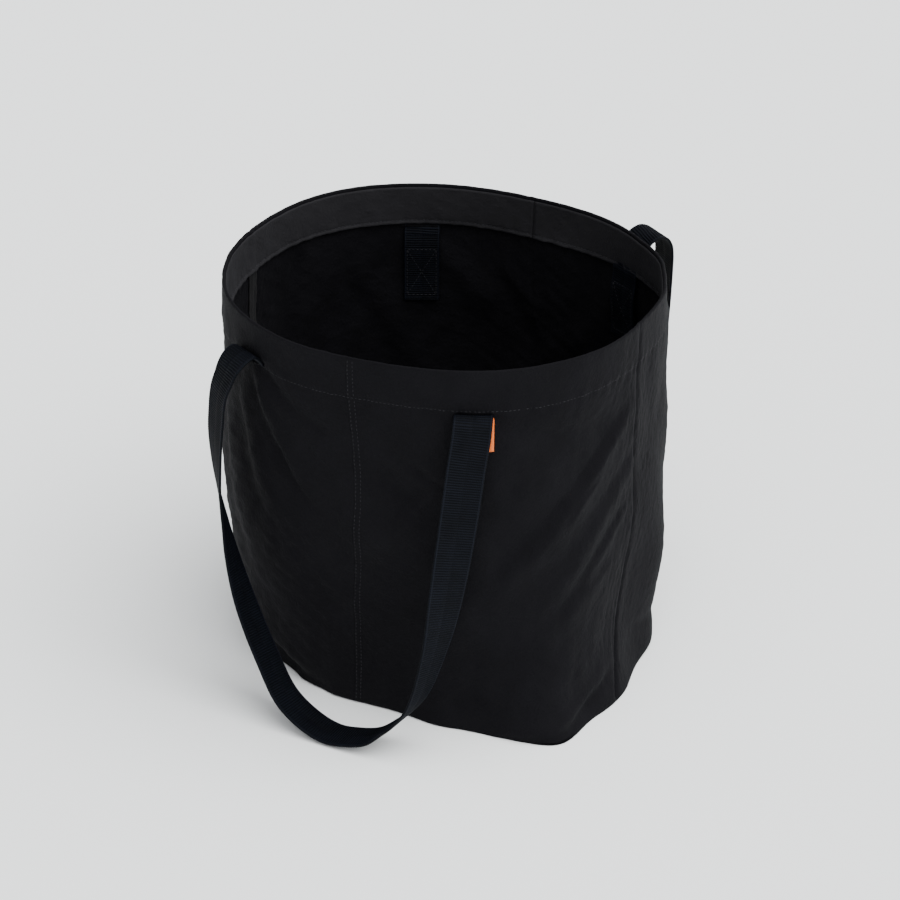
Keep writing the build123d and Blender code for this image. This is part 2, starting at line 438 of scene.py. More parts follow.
def quarterPanel(name, startSeam, endSeam, node, material):
    # one quarter of the body: underside, wall, fold along the mouth, inner face and inner base
    columns = cloth["columns"]
    steps = np.linspace(0, 1, columns)
    steps = steps - 0.1 * np.sin(2 * np.pi * steps)
    roll = cloth["rimFold"]
    centre = np.array([bag["bottomSeamX"], bag["bottomSeamY"], 0.0])
    heights = np.linspace(0, 1, cloth["wallRows"])[1:]
    arc = np.linspace(0, math.pi / 2, 7)
    overlap = asTurn(0.06 * mm)         # neighbours overlap a hair, so no light comes through
    sides = []
    runs = []
    for inside in (False, True):
        rows = []
        run = []

        def addRow(z, depth):
            first = startSeam(z) - overlap
            last = endSeam(z) + overlap
            if last < first:
                last += 360
            angle = first + (last - first) * steps
            sharper = cloth["cornerFootRadius"] - cloth["footRadius"]
            foot = cloth["footRadius"] + sharper * cornerShare(angle)
            height = np.full(columns, z)
            sunk = np.full(columns, depth)
            if z < cloth["footRadius"]:
                lag = np.clip(foot - z, 0, foot)
                sunk = sunk + foot - np.sqrt(foot ** 2 - lag ** 2)
            rows.append(skin(angle, height, sunk, slits=not inside))
            run.append(np.stack([np.radians(angle) * folds["girth"], height, 0 * height], axis=-1))

        thick = cloth["thickness"] if inside else 0.0
        for turn in arc:
            addRow(cloth["footRadius"] * (1 - math.cos(turn)), thick)
        for share in heights:
            z = cloth["footRadius"] + (rimZ - roll - cloth["footRadius"]) * share
            fold = smooth(np.array((z - (rimZ - cloth["hemDepth"])) / (1.5 * mm)))
            addRow(z, thick + (2 * roll - thick) * float(fold) if inside else 0.0)
        ring = rows[0]
        base = []
        baseRun = []
        for share in np.linspace(0.02, 1, cloth["baseRings"])[:-1]:
            spot = centre + (ring - centre) * share
            buckle = 0.5 * mm * (1 - share) * np.sin(spot[:, 0] * 61) * np.sin(spot[:, 1] * 53)
            spot[:, 2] = 0.4 * mm + np.abs(buckle) + thick
            base.append(spot)
            baseRun.append(spot * np.array([1, 1, 0]))
        if inside:
            for row in rows[:7]:
                row[:, 2] = np.maximum(row[:, 2], 0.4 * mm + thick)
        sides.append(np.stack(base + rows, axis=1))
        runs.append(np.stack(baseRun + run, axis=1))
    outer, inner = sides
    topOut = outer[:, -1]
    topIn = inner[:, -1]
    over = []
    for turn in np.linspace(0, math.pi, 7)[1:-1]:
        middle = (topOut + topIn) / 2
        half = (topOut - topIn) / 2
        over.append(middle + half * math.cos(turn) + np.array([0, 0, roll]) * math.sin(turn))
    count = outer.shape[1]
    profile = np.concatenate([outer, np.stack(over, axis=1), inner[:, ::-1]], axis=1)
    overRun = np.repeat(runs[0][:, -1:], 5, axis=1)
    run = np.concatenate([runs[0], overRun, runs[1][:, ::-1]], axis=1)
    rows = profile.shape[1]
    faces = gridFaces(columns, rows)
    for c in range(columns - 1):
        here = c * rows
        faces.append((here + rows - 1, here + 2 * rows - 1, here + rows, here))
    for c in (0, columns - 1):
        here = c * rows
        for r in range(count - 1):
            quad = (here + r, here + r + 1, here + rows - 2 - r, here + rows - 1 - r)
            faces.append(quad if c == 0 else tuple(reversed(quad)))
        cap = tuple(range(here + count - 1, here + count + 6))
        faces.append(cap if c == 0 else tuple(reversed(cap)))
    piece = newPiece(name, profile.reshape(-1, 3), faces, material)
    clothRun(piece, run)
    outwardFaces(piece)
    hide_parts(node)
    return piece


def leftSeam(z):
    return sideSeam(z, False)


def rightSeam(z):
    return sideSeam(z, True)


def frontSeam(z):
    return centreSeam(z, True)


def backSeam(z):
    return centreSeam(z, False)


def softPiece(piece):
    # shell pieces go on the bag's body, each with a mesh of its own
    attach(piece, "bag")
    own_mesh(piece)


tapes = {
    "thickness": 0.7 * mm,
    "sideHalf": 7 * mm,
    "baseHalf": 5 * mm,
    "sideLow": 16 * mm,
    "belowRim": 40 * mm,
    "bottomLift": 2.2 * mm,
    "cornerLift": 3.2 * mm,
}


def wallTape(name, seam, halfWidth, low, high, node, material):
    # a tape sewn over an upright seam inside
    across = np.linspace(-1, 1, 11)
    heights = np.linspace(low, high, 90)
    outer = []
    inner = []
    run = []
    for side in across:
        angle = np.array([float(seam(z)) for z in heights]) + asTurn(side * halfWidth)
        edge = 0.25 * mm * (abs(side) > 0.75)
        away = cloth["thickness"] + 0.15 * mm
        ripple = 0.12 * mm * np.sin(heights * 900 + side)
        outer.append(skin(angle, heights, away, slits=False))
        inner.append(skin(angle, heights, away + tapes["thickness"] + edge + ripple, slits=False))
        run.append(np.stack([side * halfWidth + 0 * heights, heights, 0 * heights], axis=-1))
    piece = slab(name, np.stack(outer), np.stack(inner), np.stack(run), material)
    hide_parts(node)
    softPiece(piece)
    return piece


def baseTape(name, middle, halfWidth, lift, node, material):
    # a tape along the inner base, over a line of points
    middle = np.asarray(middle)
    way = np.gradient(middle, axis=0)
    way /= np.linalg.norm(way, axis=1, keepdims=True)
    side = np.cross(way, np.array([0, 0, 1.0]))
    side /= np.linalg.norm(side, axis=1, keepdims=True)
    low = []
    high = []
    run = []
    for share in np.linspace(-1, 1, 7):
        spot = middle + side * share * halfWidth
        spot[:, 2] = lift
        low.append(spot.copy())
        spot[:, 2] = lift + tapes["thickness"] + 0.2 * mm * (abs(share) > 0.8)
        high.append(spot)
        along = np.linspace(0, 0.3, len(middle))
        run.append(np.stack([share * halfWidth + 0 * along, along, 0 * along], axis=-1))
    piece = slab(name, np.stack(high), np.stack(low), np.stack(run), material)
    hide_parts(node)
    softPiece(piece)
    return piece


def hemBand(name, startSeam, endSeam, node, material):
    # the folded band round the inside of the mouth, one half of it
    columns = 180
    deep = 2 * cloth["rimFold"] + 0.1 * mm
    edgeHeights = np.linspace(rimZ - 38 * mm, rimZ - 34 * mm, 7)
    heights = np.concatenate([edgeHeights, np.linspace(rimZ - 33 * mm, rimZ - 3 * mm, 16)])
    bulge = 0.22 * mm * np.exp(-((heights - (rimZ - 37 * mm)) / (1.3 * mm)) ** 2)
    dip = 0.3 * mm * np.exp(-((heights - (rimZ - 35 * mm)) / (0.8 * mm)) ** 2)
    first = startSeam + 0.1
    last = endSeam - 0.1
    outer = []
    inner = []
    run = []
    for angle in np.linspace(first, last, columns):
        turn = np.full(len(heights), angle)
        near = np.where(heights < rimZ - 35.5 * mm, cloth["thickness"] + 2.2 * mm, deep)
        outer.append(skin(turn, heights, near, slits=False))
        inner.append(skin(turn, heights, deep + 0.8 * mm + bulge - dip, slits=False))
        run.append(np.stack([np.radians(turn) * folds["girth"], heights, 0 * heights], axis=-1))
    piece = slab(name, np.stack(outer), np.stack(inner), np.stack(run), material)
    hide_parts(node)
    softPiece(piece)
    return piece


# thread

thread = {
    "pitch": 3.6 * mm,
    "length": 2.5 * mm,
    "width": 0.6 * mm,
    "rowInset": 1.3 * mm,
    "rings": ((-0.5, 0.3, -0.5), (-0.36, 0.85, -0.1), (0, 1, 0.15), (0.36, 0.85, -0.1), (0.5, 0.3, -0.5)),
    "sides": 6,
}


def evenRun(line, normals, pitch):
    # places at an even pitch along a line, with direction and outward normal
    line = np.asarray(line)
    length = lengthAlong(line)
    count = max(int(length[-1] / pitch), 1)
    marks = (np.arange(count) + 0.5) * length[-1] / count

    def at(values, where):
        return np.stack([np.interp(where, length, values[:, k]) for k in range(3)], axis=-1)

    middle = at(line, marks)
    ways = at(line, marks + 0.4 * pitch) - at(line, marks - 0.4 * pitch)
    ways /= np.linalg.norm(ways, axis=1, keepdims=True)
    outs = at(np.asarray(normals), marks)
    outs /= np.linalg.norm(outs, axis=1, keepdims=True)
    return middle, ways, outs


def threadRow(name, runs, material):
    # single stitches, each a small rounded bead half sunk in the cloth
    points = []
    faces = []
    sides = thread["sides"]
    rings = thread["rings"]
    rng = np.random.default_rng(3)
    for line, normals in runs:
        middle, ways, outs = evenRun(line, normals, thread["pitch"])
        across = np.cross(ways, outs)
        across /= np.linalg.norm(across, axis=1, keepdims=True)
        outs = np.cross(across, ways)
        yaw = rng.normal(0, 0.06, len(middle))[:, None]
        ways = ways + across * yaw
        for k in range(len(middle)):
            first = len(points)
            for along, radius, lift in rings:
                hub = middle[k] + ways[k] * along * thread["length"] + outs[k] * lift * thread["width"] / 2
                reach = radius * thread["width"] / 2
                for s in range(sides):
                    turn = 2 * math.pi * s / sides
                    offset = across[k] * reach * math.cos(turn) + outs[k] * reach * math.sin(turn)
                    points.append(hub + offset)
            for ring in range(len(rings) - 1):
                for s in range(sides):
                    a = first + ring * sides + s
                    b = first + ring * sides + (s + 1) % sides
                    faces.append((a, b, b + sides, a + sides))
            faces.append(tuple(first + s for s in reversed(range(sides))))
            faces.append(tuple(first + (len(rings) - 1) * sides + s for s in range(sides)))
    piece = newPiece(name, points, faces, material)
    outwardFaces(piece)
    return piece


def wallLine(angles, heights, depth, facing=1):
    # a line on the folded wall, with its normals
    angles = np.asarray(angles, float)
    heights = np.broadcast_to(np.asarray(heights, float), angles.shape)
    return skin(angles, heights, depth, slits=False), outward(turned(angles), heights) * facing


# webbing

webbing = {
    "width": 32 * mm,
    "thickness": 1.9 * mm,
    "ribPitch": 2.2 * mm,
    "ribHeight": 0.34 * mm,
    "samplesPerRib": 5,
    "tailDrops": (72, 60, 44, 28, 16, 8),       # mm below the slot, from the lower end up
    "tailSunk": 3.0 * mm,
    "ribbonAcross": (0.045, 0.3, 0.6, 0.84, 0.9, 0.95, 0.985, 1),      # shares of half the width
    "bodyHalf": (0.94, 0.96, 0.94, 0.9, 1.12, 1.12, 0.75, 0.35),
    "ribShare": (0.8, 1, 1, 1, 0.4, 0.25, 0, 0),
}

frontLoop = [
    # x, y, z of the middle line (mm), turn of the flat side (degrees)
    (-104, -151.5, 308.5, 24.5),
    (-108, -159, 305.5, 27),
    (-111.5, -165, 298, 32),
    (-114, -168.5, 289, 35),
    (-116.5, -171, 280, 37),
    (-118, -172.5, 270, 38),
    (-119, -173, 258, 38),
    (-120.5, -173.5, 236, 40),
    (-120, -174, 212, 46),
    (-117, -176, 188, 54),
    (-110, -180, 162, 62.5),
    (-101, -185, 134, 73.5),
    (-85, -192, 97, 85),
    (-60, -201, 55, 89),
    (-37, -208, 24, 90),
    (-13, -211, 9, 90),
    (8, -212, 3, 90),
    (26, -212, 5, 90),
    (46, -211, 11, 91),
    (61, -208, 23, 94),
    (72, -206, 34, 95.5),
    (84, -202, 53, 97),
    (95, -192, 99, 108),
    (100, -183, 144, 126),
    (104, -168, 213, 144),
    (106.5, -161, 255, 149),
    (108, -154.5, 284, 152),
    (107.5, -151.5, 294, 153),
]

backArch = [
    # how the back webbing rises out of its right slot and falls over
    (104.5, 165, 318, 27),
    (109, 170, 326, 27),
    (114, 175.5, 329, 28),
    (119, 181, 327, 31),
    (122, 185, 320.5, 35),
    (123, 187, 311, 37),
    (123, 187.5, 298, 38),
    (123, 186, 278, 38),
    (123.5, 182, 250, 39),
]


def wallTurn(x, z, front):
    # direction of the wall point that has this x
    angles = np.linspace(-150, -30, 241) if front else np.linspace(150, 30, 241)
    xs = smoothWall(angles, np.full(angles.shape, z))[:, 0]
    return float(np.interp(x, xs, angles))


def tailLine(slot):
    # middle line of the webbing end inside the wall, from its lower end up to the slot
    x, slotHeight = slots[slot]
    front = slot.startswith("front")
    turn = 27 if slot in ("frontLeft", "backRight") else 153
    spots = []
    for drop in webbing["tailDrops"]:
        z = slotHeight - drop * mm
        angle = wallTurn(x, z, front)
        nearby = angle + np.linspace(-5, 5, 9)
        sunk = max(0.0, -float(np.min(foldOut(nearby, np.full(9, z)))))
        spot = smoothWall(np.array([angle]), np.array([z]))[0]
        inwards = outward(np.array([angle]), np.array([z]))[0]
        spots.append((*(spot - inwards * (webbing["tailSunk"] + sunk)), turn))
    angle = wallTurn(x, slotHeight, front)
    middle = smoothWall(np.array([angle]), np.array([slotHeight]))[0]
    spots.append((*middle, turn))
    return spots


def handleRoute(front):
    # the free part of a handle, from just inside one slot to just inside the other
    loop = [(x * mm, y * mm, z * mm, turn) for x, y, z, turn in frontLoop]
    if front:
        return tailLine("frontLeft")[-2:] + loop + tailLine("frontRight")[-2:][::-1]
    backShift = 14 * mm
    turnedLoop = [(-x, -y + backShift, z, turn) for x, y, z, turn in loop]
    arch = [(x * mm, y * mm, z * mm, turn) for x, y, z, turn in backArch]
    lastLeft = (slots["backLeft"][0] - 5 * mm, *turnedLoop[-1][1:])
    free = arch + turnedLoop[8:-1] + [lastLeft]
    return tailLine("backRight")[-2:] + free + tailLine("backLeft")[-2:][::-1]


def curveThrough(spots, step):
    # a centripetal curve through the given spots, at an even step
    spots = np.asarray(spots, float)
    ends = np.concatenate([[2 * spots[0] - spots[1]], spots, [2 * spots[-1] - spots[-2]]])
    found = []
    for k in range(1, len(ends) - 2):
        p0, p1, p2, p3 = ends[k - 1:k + 3]
        knots = [0.0]
        for a, b in ((p0, p1), (p1, p2), (p2, p3)):
            knots.append(knots[-1] + max(np.linalg.norm((b - a)[:3]), 1e-6) ** 0.5)
        t0, t1, t2, t3 = knots
        for t in np.linspace(t1, t2, 24, endpoint=k == len(ends) - 3):
            a1 = (t1 - t) / (t1 - t0) * p0 + (t - t0) / (t1 - t0) * p1
            a2 = (t2 - t) / (t2 - t1) * p1 + (t - t1) / (t2 - t1) * p2
            a3 = (t3 - t) / (t3 - t2) * p2 + (t - t2) / (t3 - t2) * p3
            b1 = (t2 - t) / (t2 - t0) * a1 + (t - t0) / (t2 - t0) * a2
            b2 = (t3 - t) / (t3 - t1) * a2 + (t - t1) / (t3 - t1) * a3
            found.append((t2 - t) / (t2 - t1) * b1 + (t - t1) / (t2 - t1) * b2)
    found = np.array(found)
    length = lengthAlong(found[:, :3])
    marks = np.linspace(0, length[-1], int(length[-1] / step) + 1)
    even = np.stack([np.interp(marks, length, found[:, k]) for k in range(4)], axis=-1)
    return even, marks


def ribbonFrame(even):
    # middle line, flat direction and outward direction of the ribbon
    middle = even[:, :3]
    way = np.gradient(middle, axis=0)
    way /= np.linalg.norm(way, axis=1, keepdims=True)
    turn = np.radians(even[:, 3])
    flat = np.stack([np.cos(turn), -np.sin(turn), 0 * turn], axis=-1)
    flat -= way * np.sum(flat * way, axis=1, keepdims=True)
    flat /= np.linalg.norm(flat, axis=1, keepdims=True)
    return middle, flat, np.cross(flat, way)


def mirrored(values, middle, sign=1):
    # a row of values for both halves of the ribbon, given for one half
    return np.array([sign * value for value in reversed(values)] + [middle] + list(values))


def webbingStrap(name, route, nodes, material):
    # ribbed webbing along a route, standing for the given nodes
    step = webbing["ribPitch"] / webbing["samplesPerRib"]
    even, marks = curveThrough(route, step)
    middle, flat, out = ribbonFrame(even)
    half = webbing["width"] / 2
    thick = webbing["thickness"] / 2
    across = mirrored(webbing["ribbonAcross"], 0, -1)
    body = mirrored(webbing["bodyHalf"], 0.72)
    ribbed = mirrored(webbing["ribShare"], 0.3)
    phase = marks * 2 * math.pi / webbing["ribPitch"]
    rounds = []
    run = []
    for side in (1, -1):
        for k in (range(len(across)) if side == 1 else reversed(range(len(across)))):
            rib = webbing["ribHeight"] * np.cos(phase + 0.35 * np.sign(across[k])) * ribbed[k]
            reach = side * (thick * body[k] + rib)
            rounds.append(middle + flat * across[k] * half + out * reach[:, None])
            run.append(np.stack([marks, np.full(len(marks), across[k] * half), 0 * marks], axis=-1))
    grid = np.stack(rounds)
    grid[..., 2] = np.maximum(grid[..., 2], 0.3 * mm)
    columns, rows = grid.shape[:2]
    faces = gridFaces(columns, rows, closed=True)
    for r in (0, rows - 1):
        for k in range(len(across) - 1):
            a = k * rows + r
            b = (k + 1) * rows + r
            c = (columns - 2 - k) * rows + r
            d = (columns - 1 - k) * rows + r
            faces.append((a, b, c, d) if r else (d, c, b, a))
    piece = newPiece(name, grid.reshape(-1, 3), faces, material)
    clothRun(piece, np.stack(run))
    outwardFaces(piece)
    if nodes:
        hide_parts(*nodes)
    print(name, "webbing length", round(float(marks[-1]), 4))
    return piece


def sewnTail(slot, material, threadMaterial):
    # the end of a handle sewn to the inside of the wall, with its box of stitches
    route = tailLine(slot)[:-1]
    tail = webbingStrap(slot + "Tail", route, (), material)
    softPiece(tail)
    step = 0.5 * mm
    even = curveThrough(route, step)[0]
    middle, flat, out = ribbonFrame(even)
    inside = out if np.dot(out[40], -middle[40] * np.array([1, 1, 0])) > 0 else -out
    half = webbing["width"] / 2 - 3 * mm
    low = int(5 * mm / step)
    high = int(50 * mm / step)
    rise = np.arange(low, high)
    lift = webbing["thickness"] / 2 + 0.1 * mm
    runs = []

    def line(shares, places):
        spots = middle[places] + flat[places] * (shares * half)[:, None] + inside[places] * lift
        runs.append((spots, inside[places]))

    ones = np.ones(len(rise))
    slant = np.linspace(-1, 1, len(rise))
    line(ones, rise)
    line(-ones, rise)
    line(slant, rise)
    line(-slant, rise)
    cross = np.linspace(-1, 1, 40)
    line(cross, np.full(40, low))
    line(cross, np.full(40, high))
    softPiece(threadRow(slot + "TailStitches", runs, threadMaterial))


# the small folded tab

tab = {
    "width": 14 * mm,
    "left": 104.5 * mm,
    "top": 295.5 * mm,
    "bottom": 266 * mm,
    "thickness": 0.9 * mm,
    "lean": 4,                  # degrees that its right edge stands out from the wall
    "fold": 1.15 * mm,
    "wallHeight": 282 * mm,     # where its distance from the wall is set
    "turnHeight": 280 * mm,
}


def sideTab(material):
    # a ribbon folded at its lower end, its two layers lying together
    fold = tab["fold"]
    points = []
    straight = np.linspace(tab["top"], tab["bottom"] + fold, 22)
    for z in straight:
        points.append((fold, z))
    for turn in np.linspace(0, math.pi, 9)[1:-1]:
        points.append((fold * math.cos(turn), tab["bottom"] + fold - fold * math.sin(turn)))
    for z in straight[::-1]:
        points.append((-fold, z))
    path = np.array(points)
    way = np.gradient(path, axis=0)
    way /= np.linalg.norm(way, axis=1, keepdims=True)
    side = np.stack([-way[:, 1], way[:, 0]], axis=-1)
    half = tab["thickness"] / 2
    outer = []
    inner = []
    run = []
    marks = lengthAlong(path)
    for share in np.linspace(0, 1, 9):
        x = tab["left"] + tab["width"] * share
        angle = wallTurn(x, tab["turnHeight"], True)
        base = smoothWall(np.array([angle]), np.array([tab["wallHeight"]]))[0]
        outwards = outward(np.array([angle]), np.array([tab["wallHeight"]]))[0]
        outwards[2] = 0
        stand = 2.2 * mm + math.tan(math.radians(tab["lean"])) * tab["width"] * share
        edge = 0.12 * mm * (share in (0.0, 1.0))
        for store, sign in ((outer, 1), (inner, -1)):
            spread = stand + path[:, 0] + side[:, 0] * sign * (half - edge)
            height = path[:, 1] + side[:, 1] * sign * (half - edge)
            row = np.stack([base[0] + outwards[0] * spread, base[1] + outwards[1] * spread, height], axis=-1)
            store.append(row)
        run.append(np.stack([marks, 0 * marks + tab["width"] * share, 0 * marks], axis=-1))
    piece = slab("sideTab", np.stack(outer), np.stack(inner), np.stack(run), material)
    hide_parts("side_tab")
    softPiece(piece)
    return piece


# materials

def sums(tree, operation, first, second=None):
    # one step of arithmetic on numbers or node outputs
    node = tree.nodes.new("ShaderNodeMath")
    node.operation = operation
    for i, value in enumerate((first, second)):
        if value is None:
            continue
        if isinstance(value, (int, float)):
            node.inputs[i].default_value = value
        else:
            tree.links.new(value, node.inputs[i])
    return node.outputs[0]


def clothMaterial(name, look):
    # a woven cloth: weave and fine crinkles as relief, soft blotches of two tones, and on ribbed webbing a
    # painted highlight on the rib crests and painted shade between the ribs
    material = bpy.data.materials.new(name)
    material.use_nodes = True
    tree = material.node_tree
    shader = tree.nodes["Principled BSDF"]
    shader.inputs["Roughness"].default_value = look["roughness"]
    shader.inputs["Specular IOR Level"].default_value = look["specular"]
    shader.inputs["Sheen Weight"].default_value = look["sheen"]
    shader.inputs["Sheen Roughness"].default_value = 0.45
    shader.inputs["Sheen Tint"].default_value = (*look["sheenTint"], 1)
    place = tree.nodes.new("ShaderNodeTexCoord").outputs["Object"]
    run = tree.nodes.new("ShaderNodeAttribute")
    run.attribute_name = "clothRun"
    split = tree.nodes.new("ShaderNodeSeparateXYZ")
    tree.links.new(run.outputs["Vector"], split.inputs[0])
    wave = 2 * math.pi / look["yarnPitch"]
    warp = sums(tree, "SINE", sums(tree, "MULTIPLY", split.outputs[0], wave))
    weft = sums(tree, "SINE", sums(tree, "MULTIPLY", split.outputs[1], wave))
    weave = sums(tree, "MULTIPLY", warp, weft)
    height = sums(tree, "MULTIPLY", weave, look["weaveHeight"])
    for scale, amount in look["crinkles"]:
        grain = tree.nodes.new("ShaderNodeTexNoise")
        grain.inputs["Scale"].default_value = scale
        grain.inputs["Detail"].default_value = 3.0
        grain.inputs["Roughness"].default_value = 0.55
        grain.inputs["Distortion"].default_value = 0.4
        tree.links.new(place, grain.inputs["Vector"])
        ridge = sums(tree, "ABSOLUTE", sums(tree, "SUBTRACT", grain.outputs["Fac"], 0.5))
        height = sums(tree, "ADD", height, sums(tree, "MULTIPLY", ridge, amount))
    bump = tree.nodes.new("ShaderNodeBump")
    bump.inputs["Strength"].default_value = look["bump"]
    bump.inputs["Distance"].default_value = 0.001
    tree.links.new(height, bump.inputs["Height"])
    tree.links.new(bump.outputs["Normal"], shader.inputs["Normal"])
    blotch = tree.nodes.new("ShaderNodeTexNoise")
    blotch.inputs["Scale"].default_value = look["blotchScale"]
    blotch.inputs["Detail"].default_value = 4.0
    tree.links.new(place, blotch.inputs["Vector"])
    mix = tree.nodes.new("ShaderNodeMix")
    mix.data_type = "RGBA"
    mix.inputs["A"].default_value = (*look["dark"], 1)
    mix.inputs["B"].default_value = (*look["light"], 1)
    share = blotch.outputs["Fac"]
    # on ribbed webbing the colour follows the ribs and yarns: rib crests painted light as painted highlight,
    # the gaps between ribs and yarns painted dark as painted shade
    if "ribPitch" in look:
        rib = sums(tree, "COSINE", sums(tree, "MULTIPLY", split.outputs[0], 2 * math.pi / look["ribPitch"]))
        rib = sums(tree, "ADD", sums(tree, "MULTIPLY", rib, 0.5), 0.5)
        dots = sums(tree, "ADD", sums(tree, "MULTIPLY", weft, 0.3), 0.7)
        share = sums(tree, "MULTIPLY", sums(tree, "MULTIPLY", rib, dots), sums(tree, "MULTIPLY", share, 1.8))
    tree.links.new(share, mix.inputs["Factor"])
    colour = mix.outputs["Result"]
    if "selvedge" in look:
        edge = sums(tree, "ABSOLUTE", split.outputs[1])
        near = sums(tree, "ABSOLUTE", sums(tree, "SUBTRACT", edge, look["selvedgeAt"]))
        line = sums(tree, "LESS_THAN", near, 0.45 * mm)
        over = tree.nodes.new("ShaderNodeMix")
        over.data_type = "RGBA"
        tree.links.new(line, over.inputs["Factor"])
        tree.links.new(colour, over.inputs["A"])
        over.inputs["B"].default_value = (*look["selvedge"], 1)
        colour = over.outputs["Result"]
    tree.links.new(colour, shader.inputs["Base Color"])
    return material


looks = {
    "body": {
        "dark": (0.0023, 0.0022, 0.0029),
        "light": (0.0050, 0.0048, 0.0061),
        "roughness": 0.8,
        "specular": 0.06,
        "sheen": 0.008,
        "sheenTint": (0.9, 0.93, 1.0),
        "yarnPitch": 1.1 * mm,
        "weaveHeight": 0.05,
        "crinkles": ((430, 1.2), (180, 1.7), (75, 1.4)),
        "bump": 0.75,
        "blotchScale": 26,
    },
    # the hem look is made lighter than the body cloth: painted light standing in for the light that falls
    # into the mouth onto the band
    "hem": {
        "dark": (0.0085, 0.0082, 0.0094),
        "light": (0.0135, 0.0131, 0.0150),
        "roughness": 0.82,
        "specular": 0.15,
        "sheen": 0.02,
        "sheenTint": (0.9, 0.93, 1.0),
        "yarnPitch": 1.1 * mm,
        "weaveHeight": 0.05,
        "crinkles": ((430, 1.0), (180, 1.6)),
        "bump": 0.7,
        "blotchScale": 26,
    },
    "tape": {
        "dark": (0.0045, 0.0045, 0.005),
        "light": (0.0075, 0.0075, 0.0085),
        "roughness": 0.82,
        "specular": 0.15,
        "sheen": 0.02,
        "sheenTint": (1.0, 1.0, 1.0),
        "yarnPitch": 1.4 * mm,
        "weaveHeight": 0.2,
        "crinkles": ((300, 0.4),),
        "bump": 0.6,
        "blotchScale": 30,
    },
    "webbing": {
        # for the webbing, dark is the painted shade between the ribs and light the painted highlight on the
        # rib crests
        "dark": (0.0004, 0.0006, 0.0012),
        "light": (0.0036, 0.0050, 0.0092),
        "ribPitch": 2.2 * mm,
        "roughness": 0.62,
        "specular": 0.07,
        "sheen": 0.004,
        "sheenTint": (0.75, 0.85, 1.0),
        "yarnPitch": 1.5 * mm,
        "weaveHeight": 0.22,
        "crinkles": ((700, 0.3),),
        "bump": 0.6,
        "blotchScale": 60,
        "selvedge": (0.0036, 0.0047, 0.0082),
        "selvedgeAt": 14.6 * mm,
    },
    "thread": {
        "dark": (0.0090, 0.0090, 0.0110),
        "light": (0.0150, 0.0150, 0.0180),
        "roughness": 0.6,
        "specular": 0.2,
        "sheen": 0.03,
        "sheenTint": (1.0, 1.0, 1.0),
        "yarnPitch": 0.6 * mm,
        "weaveHeight": 0.1,
        "crinkles": ((900, 0.3),),
        "bump": 0.4,
        "blotchScale": 200,
    },
    "tab": {
        "dark": (0.60, 0.105, 0.002),
        "light": (0.78, 0.150, 0.004),
        "roughness": 0.5,
        "specular": 0.4,
        "sheen": 0.1,
        "sheenTint": (1.0, 0.8, 0.7),
        "yarnPitch": 0.9 * mm,
        "weaveHeight": 0.25,
        "crinkles": ((500, 0.3),),
        "bump": 0.5,
        "blotchScale": 90,
    },
}


# building the bag

made = {name: clothMaterial(name + "Cloth", look) for name, look in looks.items()}

print("panels")
panelSeams = (
    ("frontLeftPanel", leftSeam, frontSeam, "front_left_panel"),
    ("frontRightPanel", frontSeam, rightSeam, "front_right_panel"),
    ("backRightPanel", rightSeam, backSeam, "back_right_panel"),
    ("backLeftPanel", backSeam, leftSeam, "back_left_panel"),
)
for name, start, end, node in panelSeams:
    softPiece(quarterPanel(name, start, end, node, made["body"]))

print("bands and tapes")
# the bands take the hem look, painted lighter than the body cloth as painted light inside the mouth
hemBand("rightHemBand", -90, 90, "right_hem_band", made["hem"])
hemBand("leftHemBand", 90, 270, "left_hem_band", made["hem"])
for name, seam, node in (("leftSideBinding", leftSeam, "left_side_binding"),
                         ("rightSideBinding", rightSeam, "right_side_binding")):
    top = rimZ - tapes["belowRim"]
    wallTape(name, seam, tapes["sideHalf"], tapes["sideLow"], top, node, made["tape"])
seamX = np.linspace(-140 * mm, 186 * mm, 80)
seamLine = np.stack([seamX, np.full(80, bag["bottomSeamY"]), 0 * seamX], axis=-1)
baseTape("bottomBinding", seamLine, tapes["baseHalf"], tapes["bottomLift"], "bottom_binding", made["tape"])
for name, node, angles in (("leftCornerBinding", "left_corner_binding", (163, 238)),
                           ("rightCornerBinding", "right_corner_binding", (-37, 12))):
    turns = np.linspace(*angles, 60)
    wall = skin(turns, np.full(60, 8 * mm), 8 * mm, slits=False)
    baseTape(name, wall, tapes["baseHalf"], tapes["cornerLift"], node, made["tape"])

print("thread rows")
hemLine = rimZ - cloth["hemDepth"]
allRound = np.linspace(-179.99, 179.99, 2400)
hemRows = [wallLine(allRound, hemLine, -0.05 * mm)]
hemRows.append(wallLine(allRound, hemLine + 1.2 * mm, 2 * cloth["rimFold"] + 0.95 * mm, facing=-1))
hemThread = threadRow("hemStitching", hemRows, made["thread"])
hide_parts("hem_stitching")
softPiece(hemThread)
rises = np.linspace(4 * mm, rimZ - 2 * mm, 500)
for name, front, node in (("frontCentreStitching", True, "front_centre_stitching"),
                          ("backCentreStitching", False, "back_centre_stitching")):
    rows = []
    for inset in (thread["rowInset"], cloth["fellWidth"] - thread["rowInset"]):
        angles = centreSeam(rises, front) + asTurn(inset)
        rows.append(wallLine(angles, rises, 0.0))
    piece = threadRow(name, rows, made["thread"])
    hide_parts(node)
    softPiece(piece)

print("handles")
frontNodes = ("front_handle", "front_handle_left_end", "front_handle_right_end")
frontHandle = webbingStrap("frontHandle", handleRoute(True), frontNodes, made["webbing"])
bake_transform(frontHandle)
backNodes = ("back_handle", "back_handle_left_end", "back_handle_right_end")
backHandle = webbingStrap("backHandle", handleRoute(False), backNodes, made["webbing"])
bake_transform(backHandle)
for slot in slots:
    sewnTail(slot, made["webbing"], made["thread"])

print("tab")
sideTab(made["tab"])


# floor, light and camera

